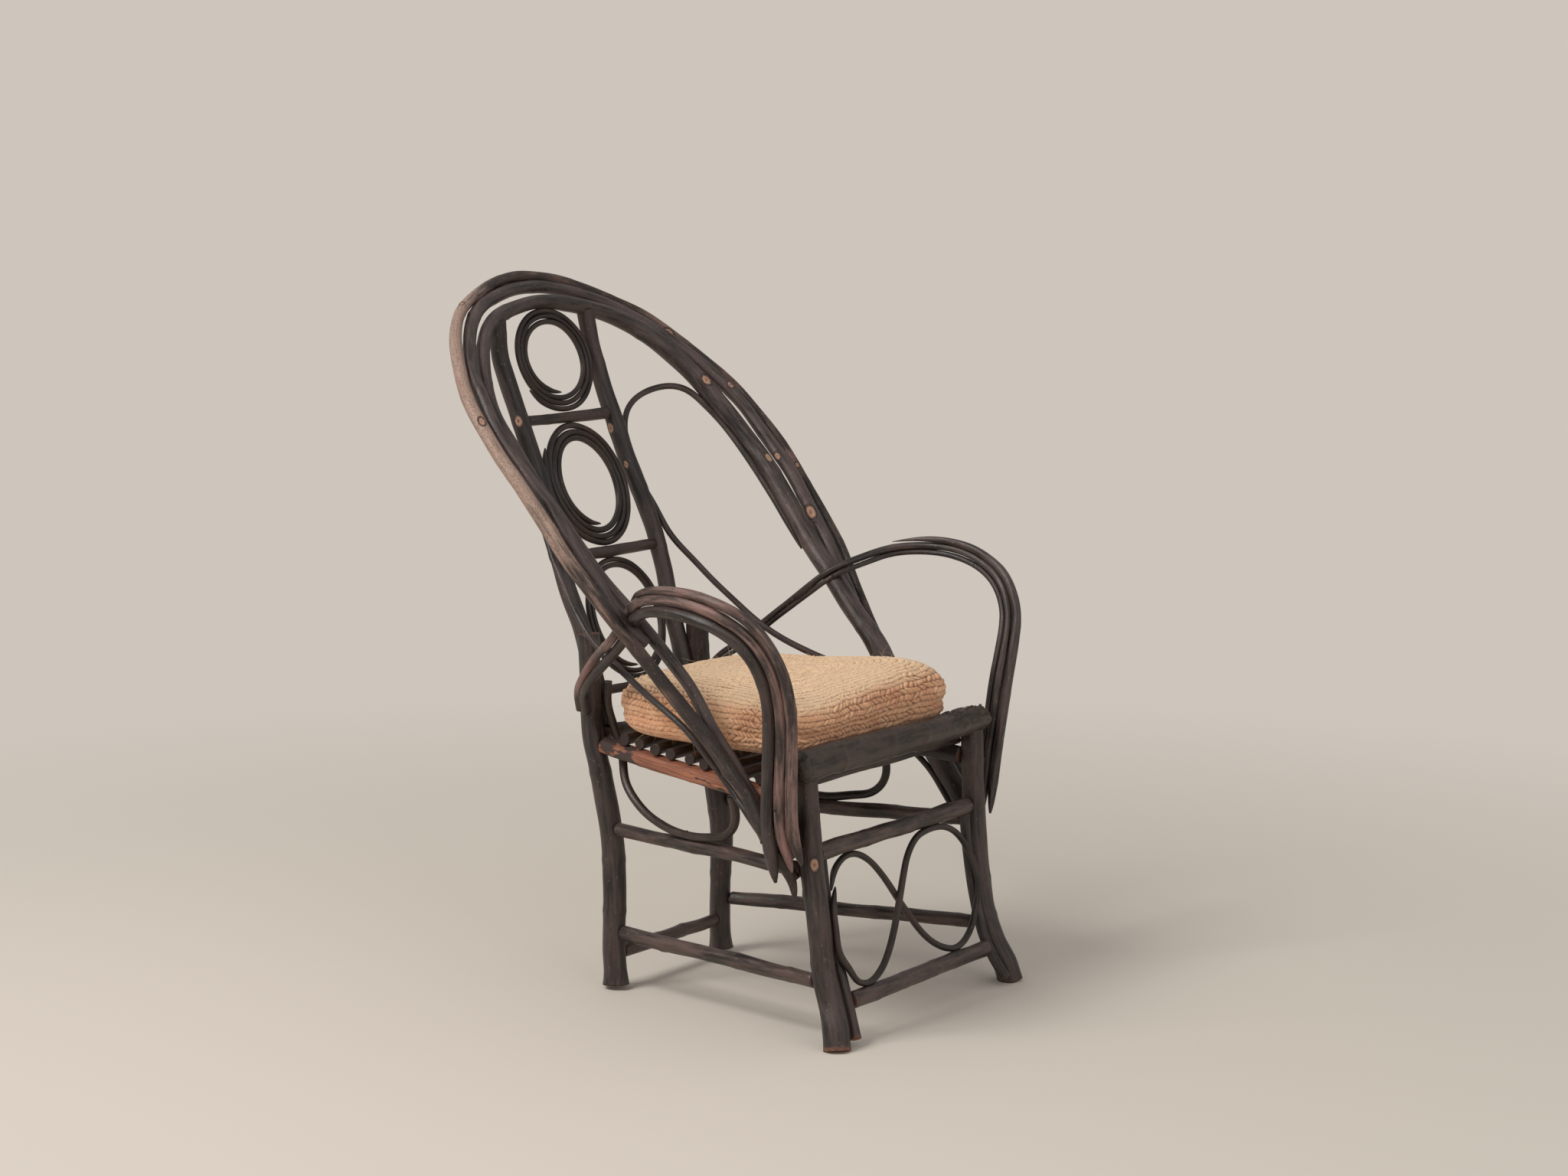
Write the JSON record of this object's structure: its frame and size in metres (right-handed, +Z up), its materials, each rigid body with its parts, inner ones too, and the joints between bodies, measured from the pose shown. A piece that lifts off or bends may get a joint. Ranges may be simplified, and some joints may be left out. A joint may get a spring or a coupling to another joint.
{
  "type": "twig armchair",
  "caption": "Rustic armchair of crooked twigs with bent hoops, coils and loops in the back, nested bent arms, a slatted seat and a loose straw cushion.",
  "frame": {"origin": "on the floor, under the middle of the chair's width and depth", "axes": "+Z up, -Y the way the sitter faces, +X the sitter's left"},
  "size_m": [0.7414, 0.8098, 1.1139],
  "materials": {
    "bark_dark": "dry bark with a satin sheen",
    "bark_brown": "thin smooth bark, satin",
    "bark_grey": "grey-brown bark, satin",
    "bark_pale": "rough pale bark with dark specks",
    "peeled_wood": "bare peeled wood, satin",
    "straw": "woven straw, dry"
  },
  "bodies": {
    "root": {"arm_inner_left": "bark_dark", "arm_inner_right": "bark_dark", "arm_middle_left": "bark_dark", "arm_middle_right": "bark_dark", "arm_outer_left": "bark_dark", "arm_outer_right": "bark_dark", "back_bar_lower": "bark_dark", "back_bar_upper": "bark_dark", "back_stile_left": "bark_dark", "back_stile_right": "bark_dark", "cushion": "straw", "front_leg_left": "bark_dark", "front_leg_right": "bark_dark", "front_rail": "bark_dark", "front_rung_lower": "bark_dark", "front_rung_upper": "bark_dark", "front_scroll": "bark_brown", "hoop_inner": "bark_dark", "hoop_middle": "bark_grey", "hoop_outer": "bark_pale", "leg_stick_left": "bark_dark", "leg_stick_right": "bark_dark", "rear_cross_rail": "bark_dark", "rear_leg_left": "bark_dark", "rear_leg_right": "bark_dark", "rear_rung_lower": "bark_dark", "rear_seat_rail": "bark_dark", "ring_lower": "bark_brown", "ring_middle": "bark_brown", "ring_upper": "bark_brown", "seat_brace_left": "bark_dark", "seat_brace_right": "bark_dark", "seat_edge_slat": "bark_dark", "seat_slat_01": "bark_brown", "seat_slat_02": "bark_brown", "seat_slat_03": "bark_brown", "seat_slat_04": "bark_brown", "seat_slat_05": "bark_brown", "seat_slat_06": "bark_brown", "seat_slat_07": "bark_brown", "seat_slat_08": "bark_brown", "seat_slat_09": "bark_brown", "seat_slat_10": "bark_brown", "side_loop_left": "bark_dark", "side_loop_right": "bark_dark", "side_rail_left": "bark_dark", "side_rail_right": "peeled_wood", "side_rung_lower_left": "bark_dark", "side_rung_lower_right": "bark_dark", "side_rung_upper_left": "bark_dark", "side_rung_upper_right": "bark_dark"}
  },
  "joints": []
}
